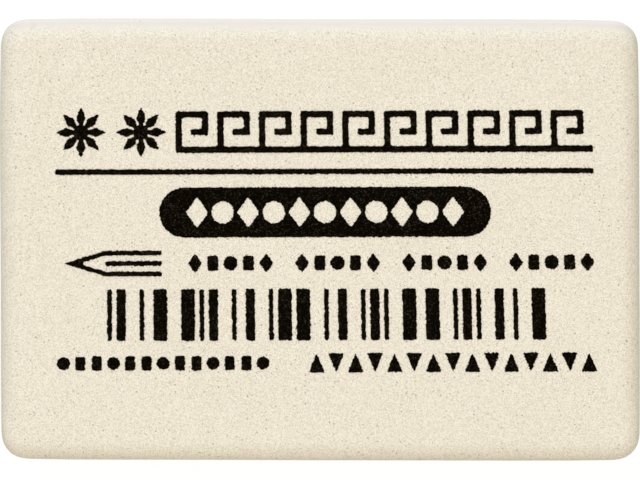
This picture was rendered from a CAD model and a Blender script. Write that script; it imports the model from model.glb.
"""A vinyl eraser: its tumbled block, the ink stamped on its upper face, and a plain studio.

Every size in a class is in millimetres. Sizes turn into metres where a mesh, a lamp or the
camera is made, by the factor MM.
"""

import logging
import math
from dataclasses import dataclass, field
from enum import Enum
from typing import Any

import bpy
import numpy as np
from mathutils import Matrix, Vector, noise
from mathutils.geometry import tessellate_polygon
from mathutils.kdtree import KDTree


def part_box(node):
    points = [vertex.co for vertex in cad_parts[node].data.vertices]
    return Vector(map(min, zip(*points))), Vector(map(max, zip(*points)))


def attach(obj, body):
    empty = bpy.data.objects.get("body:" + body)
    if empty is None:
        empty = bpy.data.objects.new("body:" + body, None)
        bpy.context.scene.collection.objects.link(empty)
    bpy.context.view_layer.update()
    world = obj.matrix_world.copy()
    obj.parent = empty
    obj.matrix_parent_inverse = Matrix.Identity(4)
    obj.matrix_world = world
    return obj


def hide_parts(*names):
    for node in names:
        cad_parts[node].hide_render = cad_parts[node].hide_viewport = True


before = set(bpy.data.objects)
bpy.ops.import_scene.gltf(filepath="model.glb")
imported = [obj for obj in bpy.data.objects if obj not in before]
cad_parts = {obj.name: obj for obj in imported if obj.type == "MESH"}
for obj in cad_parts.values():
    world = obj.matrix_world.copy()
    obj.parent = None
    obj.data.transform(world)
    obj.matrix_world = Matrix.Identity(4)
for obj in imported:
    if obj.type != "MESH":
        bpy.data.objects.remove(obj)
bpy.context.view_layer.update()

MM = 0.001
BODY = "root"
# Points that fall on the same one of these steps of a millimetre count as one
MERGE_STEPS = 1e4
# What a noise node gives on average
NOISE_MIDDLE = 0.5
log = logging.getLogger("eraser")

Colour = tuple[float, float, float]
Span = tuple[float, float]
Socket = bpy.types.NodeSocket
Value = Socket | float


class Node(Enum):
    """The CAD nodes that the scene's pieces stand for."""

    BLOCK = "eraser_block"
    PRINT = "face_print"


class Slot(Enum):
    """The record's material slots."""

    VINYL = "vinyl"
    INK = "black_ink"


def linear(red: float, green: float, blue: float) -> Colour:
    """Turns a colour as seen on a screen into a shader's colour.

    Args:
        red: Red, from 0 to 255.
        green: Green, from 0 to 255.
        blue: Blue, from 0 to 255.

    Returns:
        The three parts in linear light, from 0 to 1.
    """
    full, knee, foot, offset, power = 255, 0.04045, 12.92, 0.055, 2.4
    red_, green_, blue_ = (
        part / foot if part <= knee else ((part + offset) / (1 + offset)) ** power
        for part in (red / full, green / full, blue / full)
    )
    return red_, green_, blue_


def smooth_turn(value: np.ndarray, start: float, end: float) -> np.ndarray:
    """Turns smoothly from 0 to 1 as a value passes from start to end.

    Args:
        value: The values.
        start: Where the turn begins.
        end: Where it ends.

    Returns:
        The share turned, for each value.
    """
    share = np.clip((value - start) / (end - start), 0.0, 1.0)
    return share**2 * (3 - 2 * share)


def merged(points: np.ndarray) -> tuple[np.ndarray, np.ndarray]:
    """Merges the points that lie in one place.

    Args:
        points: Points in millimetres, one to a row.

    Returns:
        One point for each place, and for each of the given points the number of its place.
    """
    _, first, shared = np.unique(
        np.round(points * MERGE_STEPS), axis=0, return_index=True, return_inverse=True
    )
    return points[first], shared.reshape(-1)


class ShaderTree:
    """A node tree, with short methods for the nodes that the finishes and the studio share."""

    def __init__(self, owner: bpy.types.Material | bpy.types.World) -> None:
        """Gives a material or a world an empty node tree.

        Args:
            owner: The material or the world.
        """
        owner.use_nodes = True
        self.nodes = owner.node_tree.nodes
        self.links = owner.node_tree.links
        self.nodes.clear()

    def add(
        self, kind: str, inputs: dict[str | int, Any] | None = None, **settings: Any
    ) -> bpy.types.Node:
        """Adds a node.

        Args:
            kind: The node's type, without the word ShaderNode.
            inputs: What each input holds: a socket to link from, or a plain value.
            settings: The node's own settings.

        Returns:
            The node.
        """
        node = self.nodes.new("ShaderNode" + kind)
        for key, value in settings.items():
            setattr(node, key, value)
        for key, value in (inputs or {}).items():
            if isinstance(value, Socket):
                self.links.new(value, node.inputs[key])
            else:
                node.inputs[key].default_value = value
        return node

    def millimetres(self) -> Socket:
        """Gives the place on the piece, in millimetres."""
        place = self.add("TexCoord").outputs["Object"]
        return self.add("VectorMath", {0: place, "Scale": 1 / MM}, operation="SCALE").outputs[0]

    def facing(self) -> Socket:
        """Gives which way the piece's surface faces, without its fine relief."""
        return self.add("TexCoord").outputs["Normal"]

    def looked_at(self) -> Socket:
        """Gives 1 for the rays by which the camera looks, straight or off a gloss, and 0 for others."""
        path = self.add("LightPath").outputs
        return self.math("MAXIMUM", path["Is Camera Ray"], path["Is Glossy Ray"])

    def axes(self, place: Socket) -> tuple[Socket, Socket, Socket]:
        """Splits a place into its three coordinates."""
        node = self.add("SeparateXYZ", {0: place})
        return node.outputs[0], node.outputs[1], node.outputs[2]

    def math(self, operation: str, first: Value, second: Value = 0.0) -> Socket:
        """Combines one or two values.

        Args:
            operation: Blender's name for the operation.
            first: A socket or a number.
            second: A socket or a number.

        Returns:
            The result's socket.
        """
        return self.add("Math", {0: first, 1: second}, operation=operation).outputs[0]

    def ramp(
        self, value: Socket, start: float, end: float, low: float = 0.0, high: float = 1.0
    ) -> Socket:
        """Turns a value smoothly from low to high as it passes from start to end.

        Args:
            value: The socket to read.
            start: Where the turn begins.
            end: Where it ends.
            low: The result at start.
            high: The result at end.

        Returns:
            The result's socket.
        """
        inputs = {"Value": value, "From Min": start, "From Max": end, "To Min": low, "To Max": high}
        return self.add("MapRange", inputs, interpolation_type="SMOOTHSTEP").outputs["Result"]

    def spread(self, share: Socket, middle: float, reach: float) -> Socket:
        """Spreads a random share round a middle value.

        Args:
            share: The share, from 0 to 1.
            middle: The middle value.
            reach: How far below and above it the result goes.

        Returns:
            The result's socket.
        """
        return self.ramp(share, 0.0, 1.0, middle - reach, middle + reach)

    def noise(
        self, place: Socket, size: float, detail: float = 2.0, roughness: float = 0.5
    ) -> Socket:
        """Gives soft noise.

        Args:
            place: The place on the piece.
            size: How far apart its rises lie, in millimetres.
            detail: How many finer layers it has.
            roughness: How much the finer layers count.

        Returns:
            The noise, from 0 to 1 and mostly near a half.
        """
        inputs = {"Vector": place, "Scale": 1 / size, "Detail": detail, "Roughness": roughness}
        return self.add("TexNoise", inputs).outputs["Fac"]

    def cells(self, place: Socket, size: float) -> tuple[Socket, Socket]:
        """Splits space into uneven cells.

        Args:
            place: The place on the piece.
            size: How far apart the cells' middles lie, in millimetres.

        Returns:
            The distance from the nearest middle, in millimetres, and a random value for its cell.
        """
        node = self.add("TexVoronoi", {"Vector": place, "Scale": 1 / size})
        away = self.math("MULTIPLY", node.outputs["Distance"], size)
        random = self.add("SeparateColor", {0: node.outputs["Color"]}).outputs[0]
        return away, random

    def mix(self, share: Value, first: Socket | Colour, second: Socket | Colour) -> Socket:
        """Mixes two colours.

        Args:
            share: How much of the second there is.
            first: A socket or a colour.
            second: A socket or a colour.

        Returns:
            The mixed colour's socket.
        """
        share_input, first_input, second_input, colour_output = 0, 6, 7, 2
        first, second = (
            (*colour, 1.0) if isinstance(colour, tuple) else colour for colour in (first, second)
        )
        inputs = {share_input: share, first_input: first, second_input: second}
        return self.add("Mix", inputs, data_type="RGBA").outputs[colour_output]

    def finish(self, shader: Socket, output: str = "OutputMaterial") -> None:
        """Links a shader to the tree's output.

        Args:
            shader: The shader's socket.
            output: The output node's type, without the word ShaderNode.
        """
        self.add(output, {"Surface": shader})


@dataclass(frozen=True)
class Blemish:
    """A small mark on the upper face, seen from above."""

    x: float
    y: float
    radius: float
    darkening: float


@dataclass(frozen=True)
class VinylFinish:
    """Filled white vinyl: cream, matt, finely speckled, with a few dark grains in it.

    The roll along the far edge is smooth, cooler and paler, and the grain ends there along a
    border that wanders. The two short ends are a touch cooler in tint. A turn is the span of a
    value over which something sets in, and a place is such a span across the block.
    """

    pale: Colour = linear(251, 243, 222)
    warm: Colour = linear(250, 241, 220)
    blush: Colour = linear(252, 242, 223)
    grit: Colour = linear(150, 140, 108)
    skin: Colour = linear(246, 238, 225)
    rim: Colour = linear(254, 243, 231)
    faded: Colour = linear(250, 242.6, 224.6)
    cool_end: Colour = linear(241, 238, 220)
    grain_size: float = 0.03
    grain_depth: float = 0.52
    grain_turn: Span = (0.19, 0.445)
    smoothed: float = 0.815
    rim_smoothed: float = 0.87
    fleck_spacing: float = 0.3
    fleck_radius: float = 0.068
    fleck_depth: float = 0.85
    speck_spacing: float = 1.6
    speck_radius: float = 0.09
    speck_depth: float = 0.92
    dot_core: float = 0.4
    dot_turn: Span = (0.35, 1.0)
    mottle_size: float = 5.0
    mottle_detail: float = 3.0
    mottle_turn: Span = (0.35, 0.75)
    blush_size: float = 1.6
    blush_turn: Span = (0.45, 0.75)
    skin_turn: Span = (0.52, 0.66)
    skin_wander: float = 0.3
    rim_turn: Span = (0.7, 0.87)
    end_turn: Span = (0.8, 0.97)
    fade_place: Span = (11.4, 13.2)
    fade_wander: float = 1.6
    smooth_place: Span = (12.75, 13.45)
    smooth_wander: float = 0.9
    wander_size: float = 2.2
    roll_height: Span = (9.6, 11.4)
    roughness: float = 0.62
    roughness_spread: float = 0.08
    skin_roughness: float = 0.3
    specular: float = 0.2
    pit_size: float = 0.13
    pit_detail: float = 1.0
    pit_depth: float = 0.006
    blemish_core: float = 0.3
    blemishes: tuple[Blemish, ...] = (
        Blemish(-17.85, 13.35, 0.3, 0.1),
        Blemish(-17.1, -13.5, 0.1, 0.6),
        Blemish(-16.85, 12.75, 0.08, 0.35),
        Blemish(-17.15, 13.1, 0.06, 0.3),
        Blemish(-11.2, 13.6, 0.07, 0.3),
        Blemish(-11.8, 9.85, 0.07, 0.3),
        Blemish(12.9, 12.6, 0.08, 0.3),
        Blemish(14.6, 13.4, 0.06, 0.25),
        Blemish(-14.2, -9.8, 0.07, 0.3),
        Blemish(12.6, -12.1, 0.08, 0.35),
        Blemish(19.6, -8.3, 0.07, 0.35),
    )

    def material(self) -> bpy.types.Material:
        """Builds the vinyl's material.

        Returns:
            The material, whose colour, roughness and relief vary over the piece.
        """
        material = bpy.data.materials.new("white_vinyl")
        tree = ShaderTree(material)
        place = tree.millimetres()
        _, across, _ = tree.axes(place)
        along, far, _ = tree.axes(tree.facing())
        skin = self.edge(tree, place, far, self.skin_turn, self.skin_wander)
        fade = self.edge(tree, place, across, self.fade_place, self.fade_wander)
        smooth = self.edge(tree, place, across, self.smooth_place, self.smooth_wander)
        _, grain = tree.cells(place, self.grain_size)
        dots = tree.math(
            "MULTIPLY",
            self.dots(tree, place, self.fleck_spacing, self.fleck_radius, self.fleck_depth),
            self.dots(tree, place, self.speck_spacing, self.speck_radius, self.speck_depth),
        )
        # Most grains are pale, and a few are much darker
        shade = tree.ramp(grain, *self.grain_turn, 1 - self.grain_depth, 1.0)
        shade = self.smoothed_over(tree, tree.math("MULTIPLY", shade, dots), far, smooth)
        shade = tree.math("MULTIPLY", shade, self.unblemished(tree, place))
        colour = self.tint(tree, place, along, fade)
        skin_colour = tree.mix(tree.ramp(far, *self.rim_turn), self.skin, self.rim)
        rough = tree.spread(grain, self.roughness, self.roughness_spread)
        smoother = tree.math("MULTIPLY", skin, self.roughness - self.skin_roughness)
        inputs = {
            "Base Color": tree.mix(shade, self.grit, tree.mix(skin, colour, skin_colour)),
            "Roughness": tree.math("SUBTRACT", rough, smoother),
            "Specular IOR Level": self.specular,
            "Normal": self.relief(tree, place, dots, smooth),
        }
        tree.finish(tree.add("BsdfPrincipled", inputs).outputs[0])
        return material

    def smoothed_over(self, tree: ShaderTree, shade: Socket, far: Socket, smooth: Socket) -> Socket:
        """Evens out the grain's shade on the far roll.

        Args:
            tree: The material's tree.
            shade: The share of plain vinyl.
            far: How much the surface faces the far side.
            smooth: How smooth the surface is.

        Returns:
            The share of plain vinyl, even where the surface is smooth.
        """
        even = tree.ramp(far, *self.rim_turn, self.smoothed, self.rim_smoothed)
        missing = tree.math("SUBTRACT", even, shade)
        return tree.math("ADD", shade, tree.math("MULTIPLY", smooth, missing))

    def tint(self, tree: ShaderTree, place: Socket, along: Socket, fade: Socket) -> Socket:
        """Colours the plain vinyl, with faint warmer patches and cooler short ends.

        Args:
            tree: The material's tree.
            place: The place on the piece.
            along: How much the surface faces along the block.
            fade: How far the colour has faded towards the far side.

        Returns:
            The colour's socket.
        """
        mottle = tree.noise(place, self.mottle_size, self.mottle_detail)
        colour = tree.mix(tree.ramp(mottle, *self.mottle_turn), self.pale, self.warm)
        blush = tree.ramp(tree.noise(place, self.blush_size), *self.blush_turn)
        colour = tree.mix(fade, tree.mix(blush, colour, self.blush), self.faded)
        end = tree.ramp(tree.math("ABSOLUTE", along), *self.end_turn)
        return tree.mix(end, colour, self.cool_end)

    def relief(self, tree: ShaderTree, place: Socket, dots: Socket, smooth: Socket) -> Socket:
        """Pits the surface, but for its smooth part.

        Args:
            tree: The material's tree.
            place: The place on the piece.
            dots: The share of plain vinyl between the dots.
            smooth: How smooth the surface is.

        Returns:
            The normal's socket.
        """
        pits = tree.math("MULTIPLY", tree.noise(place, self.pit_size, self.pit_detail), dots)
        pits = tree.math("MULTIPLY", pits, tree.math("SUBTRACT", 1.0, smooth))
        return tree.add("Bump", {"Height": pits, "Distance": self.pit_depth * MM}).outputs[0]

    def upper(self, tree: ShaderTree, place: Socket) -> Socket:
        """Gives 1 on the upper face and its roll, and 0 on the walls below."""
        _, _, height = tree.axes(place)
        return tree.ramp(height, *self.roll_height)

    def edge(
        self, tree: ShaderTree, place: Socket, value: Socket, turn: Span, wander: float
    ) -> Socket:
        """Turns from 0 to 1 on the upper face, along a border that wanders in and out.

        Args:
            tree: The material's tree.
            place: The place on the piece.
            value: What the border follows.
            turn: The value's span over which it turns.
            wander: How far the border wanders.

        Returns:
            The share that lies past the border.
        """
        sway = tree.math("SUBTRACT", tree.noise(place, self.wander_size), NOISE_MIDDLE)
        moved = tree.math("ADD", value, tree.math("MULTIPLY", sway, wander))
        return tree.math("MULTIPLY", tree.ramp(moved, *turn), self.upper(tree, place))

    def dots(
        self, tree: ShaderTree, place: Socket, spacing: float, radius: float, depth: float
    ) -> Socket:
        """Scatters dots of grit, of which no two are equally dark.

        Args:
            tree: The material's tree.
            place: The place on the piece.
            spacing: How far apart the dots lie, in millimetres.
            radius: A dot's radius, in millimetres.
            depth: How much grit the darkest dot holds.

        Returns:
            The share of plain vinyl, which is 1 between the dots.
        """
        away, kind = tree.cells(place, spacing)
        inside = tree.ramp(away, radius * self.dot_core, radius, 1.0, 0.0)
        strength = tree.ramp(kind, *self.dot_turn, 0.0, depth)
        return tree.math("SUBTRACT", 1.0, tree.math("MULTIPLY", inside, strength))

    def unblemished(self, tree: ShaderTree, place: Socket) -> Value:
        """Draws the marks on the upper face.

        Args:
            tree: The material's tree.
            place: The place on the piece.

        Returns:
            The share of plain vinyl, which is 1 away from the marks.
        """
        x, y, _ = tree.axes(place)
        flat = tree.add("CombineXYZ", {0: x, 1: y}).outputs[0]
        upper = self.upper(tree, place)
        plain: Value = 1.0
        for blemish in self.blemishes:
            ends = {0: flat, 1: (blemish.x, blemish.y, 0.0)}
            away = tree.add("VectorMath", ends, operation="DISTANCE").outputs["Value"]
            core = blemish.radius * self.blemish_core
            mark = tree.ramp(away, core, blemish.radius, blemish.darkening, 0.0)
            kept = tree.math("SUBTRACT", 1.0, tree.math("MULTIPLY", mark, upper))
            plain = tree.math("MULTIPLY", plain, kept)
        return plain


@dataclass(frozen=True)
class InkFinish:
    """Matt black stamping ink that lets a few grains of vinyl through."""

    ink: Colour = linear(7, 4, 0)
    thin: Colour = linear(56, 50, 40)
    show_through_size: float = 0.06
    slow_size: float = 1.4
    slow_share: float = 0.2
    thin_turn: Span = (0.88, 1.15)
    roughness: float = 0.6
    roughness_spread: float = 0.1
    specular: float = 0.01
    bump_height: float = 0.003

    def material(self) -> bpy.types.Material:
        """Builds the ink's material.

        Returns:
            The material, with thin places where the vinyl's grain shows.
        """
        material = bpy.data.materials.new("stamped_black_ink")
        tree = ShaderTree(material)
        place = tree.millimetres()
        _, grain = tree.cells(place, self.show_through_size)
        slow = tree.math("MULTIPLY", tree.noise(place, self.slow_size), self.slow_share)
        thin = tree.ramp(tree.math("ADD", grain, slow), *self.thin_turn)
        normal = tree.add("Bump", {"Height": grain, "Distance": self.bump_height * MM}).outputs[0]
        rough = tree.spread(grain, self.roughness, self.roughness_spread)
        inputs = {
            "Base Color": tree.mix(thin, self.ink, self.thin),
            "Roughness": rough,
            "Specular IOR Level": self.specular,
            "Normal": normal,
        }
        tree.finish(tree.add("BsdfPrincipled", inputs).outputs[0])
        return material


@dataclass(frozen=True)
class FloorFinish:
    """A plain pale floor, which the camera sees as white with the block's soft shadow on it."""

    paint: Colour = linear(190, 189, 186)
    glow: float = 0.87
    seen_share: float = 0.36

    def material(self) -> bpy.types.Material:
        """Builds the floor's material.

        Returns:
            The material: plain paint for the light it passes on, and a paler one for the camera.
        """
        material = bpy.data.materials.new("pale_floor")
        tree = ShaderTree(material)
        paint = tree.add("BsdfDiffuse", {"Color": (*self.paint, 1.0)}).outputs[0]
        seen = tuple(part * self.seen_share for part in self.paint)
        faint = tree.add("BsdfDiffuse", {"Color": (*seen, 1.0)}).outputs[0]
        glow = tree.add("Emission", {"Strength": self.glow}).outputs[0]
        bright = tree.add("AddShader", {0: faint, 1: glow}).outputs[0]
        ends = {0: tree.looked_at(), 1: paint, 2: bright}
        tree.finish(tree.add("MixShader", ends).outputs[0])
        return material


@dataclass(frozen=True)
class Tumbling:
    """How far cutting and tumbling left the block from a true one, in millimetres."""

    lean_x: float = 0.0024
    lean_y: float = 0.0022
    swell: float = 0.02
    swell_size: float = 9.0
    dimple: float = 0.006
    dimple_size: float = 1.5
    nick: float = 0.03
    nick_size: float = 1.1
    easing: float = 0.13
    easing_start: float = 0.5
    easing_full: float = 1.8
    easing_reach: float = 2.2

    def rise(self, point: np.ndarray, rolled: float) -> float:
        """Gives how far the surface stands off the true one at a point.

        Args:
            point: The point on the true surface.
            rolled: How far the surface has turned there from a flat face, from 0 to 1.

        Returns:
            The distance, outwards.
        """
        layers = (
            (self.swell, self.swell_size),
            (self.dimple, self.dimple_size),
            (self.nick * rolled, self.nick_size),
        )
        return sum(depth * noise.noise(Vector(point / size)) for depth, size in layers)

    def eased(self, points: np.ndarray, half: np.ndarray) -> np.ndarray:
        """Draws the sides in a little as they near a corner.

        Args:
            points: Points, one to a row.
            half: Half of the block's length and half of its width.

        Returns:
            The moved points.
        """
        out = points.copy()
        inside = half[:2] - np.abs(points[:, :2])
        hold = np.exp(-inside / self.easing_reach)
        pull = self.easing * smooth_turn(inside, self.easing_start, self.easing_full) * hold
        out[:, :2] -= np.sign(points[:, :2]) * pull[:, ::-1] * hold
        return out

    def leaned(self, points: np.ndarray) -> np.ndarray:
        """Leans the sides a little out of square.

        Args:
            points: Points, one to a row.

        Returns:
            The moved points.
        """
        out = points.copy()
        out[:, 0] -= self.lean_x * points[:, 1]
        out[:, 1] -= self.lean_y * points[:, 0]
        return out


def new_piece(
    name: str, points: np.ndarray, faces: list[list[int]], smooth: bool
) -> bpy.types.Object:
    """Makes a mesh object.

    Args:
        name: The piece's name.
        points: Its points in millimetres, one to a row.
        faces: The points of each face.
        smooth: Whether its faces shade as one curved surface.

    Returns:
        The object, linked to the scene.
    """
    mesh = bpy.data.meshes.new(name)
    mesh.from_pydata((points * MM).tolist(), [], faces)
    mesh.polygons.foreach_set("use_smooth", [smooth] * len(mesh.polygons))
    mesh.update()
    piece = bpy.data.objects.new(name, mesh)
    bpy.context.scene.collection.objects.link(piece)
    return piece


def dress(
    piece: bpy.types.Object, material: bpy.types.Material, node: Node
) -> None:
    """Gives a piece its finish and its place in the model.

    Args:
        piece: The object.
        material: Its material.
        node: The CAD node that it stands for.
    """
    piece.data.materials.append(material)
    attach(piece, BODY)
    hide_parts(node.value)


@dataclass
class VinylBlock:
    """The block: flat faces, with every edge rolled and the roll carried round four corners."""

    tumbling: Tumbling
    corner_radius: float = 1.8
    edge_radius: float = 1.4
    near_radius: float = 1.05
    near_reach: float = 5.0
    roll_steps: int = 9
    grid_step: float = 0.25
    finish: VinylFinish = VinylFinish()
    half: np.ndarray = field(init=False)

    def __post_init__(self) -> None:
        """Reads the block's size from its CAD node."""
        low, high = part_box(Node.BLOCK.value)
        self.half = (np.array(high) - np.array(low)) / 2 / MM

    def lines(self, half: float) -> np.ndarray:
        """Places the grid lines across one side of the block.

        Args:
            half: Half of the side's length.

        Returns:
            The lines' places: even steps on the flat, and even angles round the roll.
        """
        flat = half - self.edge_radius
        count = math.ceil(2 * flat / self.grid_step) + 1
        turned = np.tan(np.linspace(0, math.pi / 4, self.roll_steps + 1)[1:]) * self.edge_radius
        return np.concatenate([-(flat + turned)[::-1], np.linspace(-flat, flat, count), flat + turned])

    def crate(self) -> tuple[np.ndarray, list[list[int]]]:
        """Lays a grid over the six faces of the sharp box that holds the block.

        Returns:
            The grid's points and its faces, with the points along the edges shared.
        """
        points, faces, total = [], [], 0
        for axis in range(3):
            across, up = (axis + 1) % 3, (axis + 2) % 3
            u, v = self.lines(self.half[across]), self.lines(self.half[up])
            for side in (-1, 1):
                sheet = np.zeros((len(u), len(v), 3))
                sheet[..., axis] = side * self.half[axis]
                sheet[..., across] = u[:, None]
                sheet[..., up] = v[None, :]
                index = np.arange(len(u) * len(v)).reshape(len(u), len(v)) + total
                corners = [index[:-1, :-1], index[1:, :-1], index[1:, 1:], index[:-1, 1:]]
                faces += [np.stack(corners[::side], axis=-1).reshape(-1, 4)]
                points += [sheet.reshape(-1, 3)]
                total += index.size
        kept, shared = merged(np.concatenate(points))
        return kept, shared[np.concatenate(faces)].tolist()

    def rolled(self, points: np.ndarray) -> tuple[np.ndarray, np.ndarray]:
        """Rolls the sharp box's edges and rounds its upright corners.

        Args:
            points: Points on the sharp box, one to a row.

        Returns:
            The points on the rolled block, and which way the surface faces there.
        """
        core = self.half[:2] - self.corner_radius
        radius = self.radius(points[:, 1:2])
        reach = self.corner_radius - radius
        middle = points.copy()
        held = np.clip(points[:, :2], -core, core)
        out = points[:, :2] - held
        away = np.linalg.norm(out, axis=1, keepdims=True)
        middle[:, :2] = held + out * (reach / np.maximum(away, reach))
        level = self.half[2] - radius[:, 0]
        middle[:, 2] = np.clip(points[:, 2], -level, level)
        facing = points - middle
        facing /= np.linalg.norm(facing, axis=1, keepdims=True)
        return middle + facing * radius, facing

    def radius(self, y: np.ndarray) -> np.ndarray:
        """Gives the roll's radius, which is a little less along the near side.

        Args:
            y: Places across the block.

        Returns:
            The radius at each place.
        """
        share = smooth_turn(y + self.half[1], 0.0, self.near_reach)
        return self.near_radius + (self.edge_radius - self.near_radius) * share

    def build(self) -> bpy.types.Object:
        """Builds and dresses the block.

        Returns:
            The block's object.
        """
        sharp, faces = self.crate()
        points, facing = self.rolled(sharp)
        points[:, 2] += self.half[2]
        rolled = 1 - np.abs(facing).max(axis=1)
        full = 1 - math.sqrt(1 / 2)
        rise = [
            self.tumbling.rise(point, min(turn / full, 1.0)) for point, turn in zip(points, rolled)
        ]
        points = self.tumbling.eased(points + facing * np.array(rise)[:, None], self.half)
        points = self.tumbling.leaned(points)
        points[:, 2] = np.maximum(points[:, 2], 0.0)
        piece = new_piece("tumbled_vinyl_block", points, faces, smooth=True)
        dress(piece, self.finish.material(), Node.BLOCK)
        return piece


class Patches:
    """Sorts points into patches, as the triangles that hold them together are read."""

    def __init__(self, count: int) -> None:
        """Makes each point a patch of its own.

        Args:
            count: How many points there are.
        """
        self.towards = list(range(count))

    def head(self, index: int) -> int:
        """Finds the point that stands for a patch.

        Args:
            index: Any point of the patch.

        Returns:
            The point that stands for it.
        """
        while self.towards[index] != index:
            self.towards[index] = self.towards[self.towards[index]]
            index = self.towards[index]
        return index

    def join(self, first: int, second: int) -> None:
        """Makes the patches of two points one."""
        self.towards[self.head(second)] = self.head(first)


@dataclass
class StampedPrint:
    """The coat of ink, which lies a little askew and has crept into the vinyl's grain.

    Its corners are rounded, and its edge creeps less where it comes near to itself. The tilt and
    the lean are slopes, and the lean grows with each millimetre to the right.
    """

    tumbling: Tumbling
    edge_step: float = 0.03
    fewest_steps: int = 12
    softening: int = 20
    creep: float = 0.045
    creep_size: float = 0.2
    fine_creep: float = 0.085
    fine_creep_size: float = 0.062
    free_span: float = 0.15
    most_creep: float = 0.38
    film: float = 0.026
    sunk: float = 0.012
    top_margin: float = 0.0026
    shift_x: float = 0.075
    shift_y: float = -0.04
    tilt: float = 0.0033
    lean: float = 0.0145
    lean_growth: float = 0.00085
    upright_row: float = 4.4
    finish: InkFinish = InkFinish()
    face_height: float = field(init=False)

    def __post_init__(self) -> None:
        """Reads the height of the printed face from the print's CAD node."""
        low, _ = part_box(Node.PRINT.value)
        self.face_height = low.z / MM

    def islands(self) -> list[list[np.ndarray]]:
        """Reads the outlines of the print from the top of its CAD node.

        Returns:
            For each separate patch of ink, its closed outlines: the outer one and any holes.
        """
        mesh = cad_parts[Node.PRINT.value].data
        mesh.calc_loop_triangles()
        places, shared = merged(np.array([vertex.co for vertex in mesh.vertices]) / MM)
        top = places[:, 2].max() - self.top_margin
        patches = Patches(len(places))
        edges: set[tuple[int, int]] = set()
        for triangle in mesh.loop_triangles:
            ring = [int(shared[index]) for index in triangle.vertices]
            if all(places[index][2] > top for index in ring):
                edges.update(zip(ring, ring[1:] + ring[:1]))
                patches.join(ring[0], ring[1])
                patches.join(ring[0], ring[2])
        found: dict[int, list[np.ndarray]] = {}
        for outline in self.chained(edges):
            flat = self.pressed(places[outline, :2])
            found.setdefault(patches.head(outline[0]), []).append(flat)
        return list(found.values())

    @staticmethod
    def chained(edges: set[tuple[int, int]]) -> list[list[int]]:
        """Chains the edges that only one triangle has into closed outlines.

        Args:
            edges: The triangles' edges, each from one point to the next.

        Returns:
            The points of each outline, in order.
        """
        follows: dict[int, list[int]] = {}
        for start, end in sorted(edges):
            if (end, start) not in edges:
                follows.setdefault(start, []).append(end)
        outlines = []
        while follows:
            start = min(follows)
            outline = [start]
            while True:
                ends = follows[outline[-1]]
                after = ends.pop()
                if not ends:
                    del follows[outline[-1]]
                if after == start:
                    break
                outline.append(after)
            outlines.append(outline)
        return outlines

    def pressed(self, points: np.ndarray) -> np.ndarray:
        """Moves the print as the stamp did: it lies a little askew and leans more to the right.

        Args:
            points: Points of the true print, one to a row.

        Returns:
            The points where the ink lies.
        """
        x, y = points[:, 0], points[:, 1]
        slant = self.lean + self.lean_growth * x
        across = x + self.shift_x + (self.upright_row - y) * slant
        return np.column_stack([across, y + self.shift_y + self.tilt * x])

    def stepped(self, outline: np.ndarray) -> np.ndarray:
        """Walks round an outline in even small steps.

        Args:
            outline: The points of a closed outline, one to a row.

        Returns:
            A point for each step, one to a row.
        """
        closed = np.vstack([outline, outline[:1]])
        lengths = np.linalg.norm(np.diff(closed, axis=0), axis=1)
        along = np.concatenate([[0.0], np.cumsum(lengths)])
        count = max(self.fewest_steps, round(along[-1] / self.edge_step))
        stops = np.linspace(0.0, along[-1], count, endpoint=False)
        return np.stack([np.interp(stops, along, closed[:, axis]) for axis in range(2)], axis=1)

    def crept(self, outline: np.ndarray) -> np.ndarray:
        """Softens an outline's corners and lets its edge wander.

        Args:
            outline: The points of a closed outline, one to a row.

        Returns:
            The outline in even small steps, crept in and out.
        """
        line = self.stepped(outline)
        for _ in range(self.softening):
            line = line / 2 + (np.roll(line, 1, axis=0) + np.roll(line, -1, axis=0)) / 4
        heading = np.roll(line, -1, axis=0) - np.roll(line, 1, axis=0)
        heading /= np.linalg.norm(heading, axis=1, keepdims=True)
        outwards = np.stack([heading[:, 1], -heading[:, 0]], axis=1)
        wander = np.array([self.wander(point) for point in line])
        most = self.most_creep * self.room(line)
        return line + outwards * (most * np.tanh(wander / most))[:, None]

    def wander(self, point: np.ndarray) -> float:
        """Gives how far the edge would creep outwards at a point if it had the room.

        Args:
            point: The point on the outline.

        Returns:
            The distance, less than nothing where the edge draws in.
        """
        # The two read the noise at different levels, so that they rise in different places
        slow = noise.noise(Vector((*(point / self.creep_size), 0.0)))
        fine = noise.noise(Vector((*(point / self.fine_creep_size), 1.0)))
        return self.creep * slow + self.fine_creep * fine

    def room(self, line: np.ndarray) -> np.ndarray:
        """Measures how near an outline comes to itself, at its tips and in its narrow places.

        Args:
            line: The points of a closed outline, in even steps.

        Returns:
            For each point, how far away the nearest one is that isn't its neighbour along the line.
        """
        places = [Vector((x, y, 0.0)) for x, y in line]
        tree = KDTree(len(places))
        for index, place in enumerate(places):
            tree.insert(place, index)
        tree.balance()
        neighbours = round(self.free_span / self.edge_step)
        room = []
        for index, place in enumerate(places):
            nearest = self.free_span
            for _, other, distance in tree.find_range(place, self.free_span):
                apart = abs(other - index)
                if min(apart, len(places) - apart) >= neighbours:
                    nearest = min(nearest, distance)
            room.append(nearest)
        return np.array(room)

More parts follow.
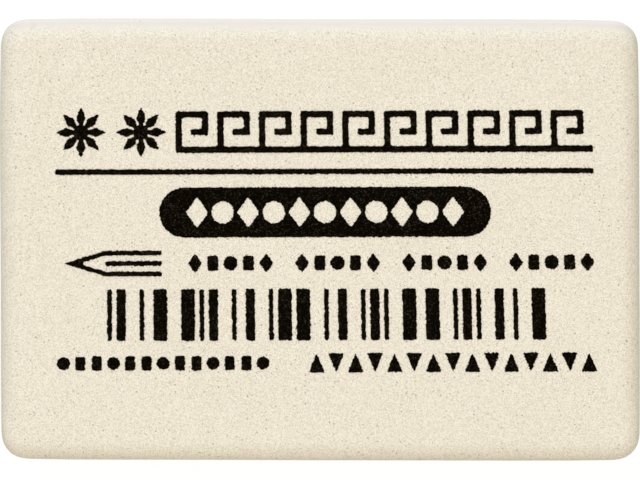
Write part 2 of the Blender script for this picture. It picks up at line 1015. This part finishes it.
    def coat(self, outlines: list[np.ndarray]) -> tuple[np.ndarray, list[list[int]]]:
        """Builds one closed patch of ink: its top, its underside and the walls between them.

        Args:
            outlines: The patch's closed outlines.

        Returns:
            Its points, with those of the top first, and its faces.
        """
        flat = np.concatenate(outlines)
        size = len(flat)
        rise = np.array([
            self.tumbling.rise(np.array([x, y, self.face_height]), 0.0) for x, y in flat
        ])
        level = self.face_height + rise
        sheets = [np.column_stack([flat, level + lift]) for lift in (self.film, -self.sunk)]
        faces = []
        for ring in tessellate_polygon([[Vector((x, y, 0.0)) for x, y in line] for line in outlines]):
            corners = self.turned_up(ring, flat)
            faces.append(corners)
            faces.append([index + size for index in reversed(corners)])
        begin = 0
        for line in outlines:
            for step in range(len(line)):
                here, there = begin + step, begin + (step + 1) % len(line)
                faces.append([there, here, here + size, there + size])
            begin += len(line)
        return np.concatenate(sheets), faces

    @staticmethod
    def turned_up(ring: tuple[int, int, int], flat: np.ndarray) -> list[int]:
        """Orders a triangle's corners so that it faces up.

        Args:
            ring: The triangle's corners.
            flat: Every point, seen from above.

        Returns:
            The corners, anticlockwise from above.
        """
        a, b, c = (flat[index] for index in ring)
        area = (b[0] - a[0]) * (c[1] - a[1]) - (b[1] - a[1]) * (c[0] - a[0])
        return list(ring) if area > 0 else list(reversed(ring))

    def build(self) -> bpy.types.Object:
        """Builds and dresses the coat of ink.

        Returns:
            The ink's object.
        """
        points: list[np.ndarray] = []
        faces: list[list[int]] = []
        total = 0
        for island in self.islands():
            patch, rings = self.coat([self.crept(outline) for outline in island])
            points.append(patch)
            faces += [[total + index for index in ring] for ring in rings]
            total += len(patch)
        piece = new_piece("stamped_ink", np.concatenate(points), faces, smooth=False)
        dress(piece, self.finish.material(), Node.PRINT)
        return piece


@dataclass(frozen=True)
class Lamp:
    """A square soft light that faces the block."""

    name: str
    place: tuple[float, float, float]
    size: float
    radiance: float
    colour: Colour

    def hang(self, target: Vector) -> None:
        """Makes the lamp.

        Args:
            target: What it faces, in metres.
        """
        light = bpy.data.lights.new(self.name, "AREA")
        light.shape = "SQUARE"
        light.size = self.size * MM
        light.energy = self.radiance * math.pi * light.size**2
        light.color = self.colour
        lamp = bpy.data.objects.new(self.name, light)
        lamp.location = Vector(self.place) * MM
        lamp.rotation_euler = (target - lamp.location).to_track_quat("-Z", "Y").to_euler()
        bpy.context.scene.collection.objects.link(lamp)


@dataclass
class Studio:
    """A pale floor, soft light from above and behind, and a camera straight above the face."""

    floor_size: float = 3000.0
    floor_level: float = -0.01
    opening_margin: float = 1.7
    dome: Colour = (1.0, 0.936, 0.846)
    dome_strength: float = 0.512
    lamps: tuple[Lamp, ...] = (
        Lamp("overhead_softbox", (8.0, -60.0, 620.0), 480.0, 1.94, (1.0, 0.993, 0.993)),
        Lamp("far_window", (-215.0, 590.0, 450.0), 440.0, 3.2, (0.556, 0.72, 1.0)),
        Lamp("far_strip", (-40.0, 640.0, 110.0), 300.0, 3.5, (0.85, 0.93, 1.0)),
        Lamp("near_reflector", (20.0, -570.0, 410.0), 400.0, 0.38, (1.0, 1.0, 1.0)),
    )
    lens: float = 200.0
    sensor: float = 36.0
    frame_pixels: float = 640.0
    block_pixels: float = 638.8
    above_middle_pixels: float = 0.6

    def lay_floor(self, finish: FloorFinish, block: VinylBlock) -> None:
        """Lays the floor, open under the block so that its underside shows from below.

        Args:
            finish: The floor's finish.
            block: The block that stands on it.
        """
        corners = ((-1.0, -1.0), (1.0, -1.0), (1.0, 1.0), (-1.0, 1.0))
        count = len(corners)
        opening = block.half[:2] - self.opening_margin
        reach = self.floor_size / 2
        outer = [(x * reach, y * reach, self.floor_level) for x, y in corners]
        inner = [(x * opening[0], y * opening[1], self.floor_level) for x, y in corners]
        faces = [
            [side, (side + 1) % count, (side + 1) % count + count, side + count]
            for side in range(count)
        ]
        floor = new_piece("floor", np.array(outer + inner), faces, smooth=False)
        floor.data.materials.append(finish.material())

    def light(self, target: Vector) -> None:
        """Lights the block with the lamps and a pale dome, which the camera sees as white.

        Args:
            target: What the lamps face, in metres.
        """
        world = bpy.data.worlds.new("studio_dome")
        bpy.context.scene.world = world
        tree = ShaderTree(world)
        inputs = {"Color": (*self.dome, 1.0), "Strength": self.dome_strength}
        dome = tree.add("Background", inputs).outputs[0]
        white = tree.add("Background", {"Color": (1.0, 1.0, 1.0, 1.0)}).outputs[0]
        ends = {0: tree.looked_at(), 1: dome, 2: white}
        tree.finish(tree.add("MixShader", ends).outputs[0], "OutputWorld")
        for lamp in self.lamps:
            lamp.hang(target)

    def place_camera(self, width: float, widest_height: float) -> None:
        """Hangs the camera straight above the face, at the photograph's framing.

        Args:
            width: The block's length across the picture, in millimetres.
            widest_height: How high up the block is widest as seen from above, in millimetres.
        """
        data = bpy.data.cameras.new("camera_above_face")
        data.lens = self.lens
        data.sensor_width = self.sensor
        data.clip_start = MM
        view_width = width * self.frame_pixels / self.block_pixels
        distance = view_width * self.lens / self.sensor
        drop = self.above_middle_pixels * view_width / self.frame_pixels
        camera = bpy.data.objects.new("camera_above_face", data)
        camera.location = Vector((0.0, -drop, widest_height + distance)) * MM
        bpy.context.scene.collection.objects.link(camera)
        bpy.context.scene.camera = camera

    def build(self, block: VinylBlock) -> None:
        """Sets up the floor, the light and the camera.

        Args:
            block: The block that they are set up round.
        """
        self.lay_floor(FloorFinish(), block)
        self.light(Vector((0.0, 0.0, block.half[2] * MM)))
        self.place_camera(2 * block.half[0], 2 * block.half[2] - block.edge_radius)
        bpy.context.scene.view_settings.view_transform = "Standard"


def report(piece: bpy.types.Object) -> None:
    """Logs a piece's name, size and number of faces.

    Args:
        piece: The object.
    """
    size = " x ".join(f"{side / MM:.2f}" for side in piece.dimensions)
    log.info("%s: %s mm, %d faces", piece.name, size, len(piece.data.polygons))


def main() -> None:
    """Builds the eraser and its studio in order, and reports each piece."""
    logging.basicConfig(level=logging.INFO, format="%(name)s: %(message)s")
    tumbling = Tumbling()
    block = VinylBlock(tumbling)
    report(block.build())
    report(StampedPrint(tumbling).build())
    Studio().build(block)


if __name__ == "__main__":
    main()
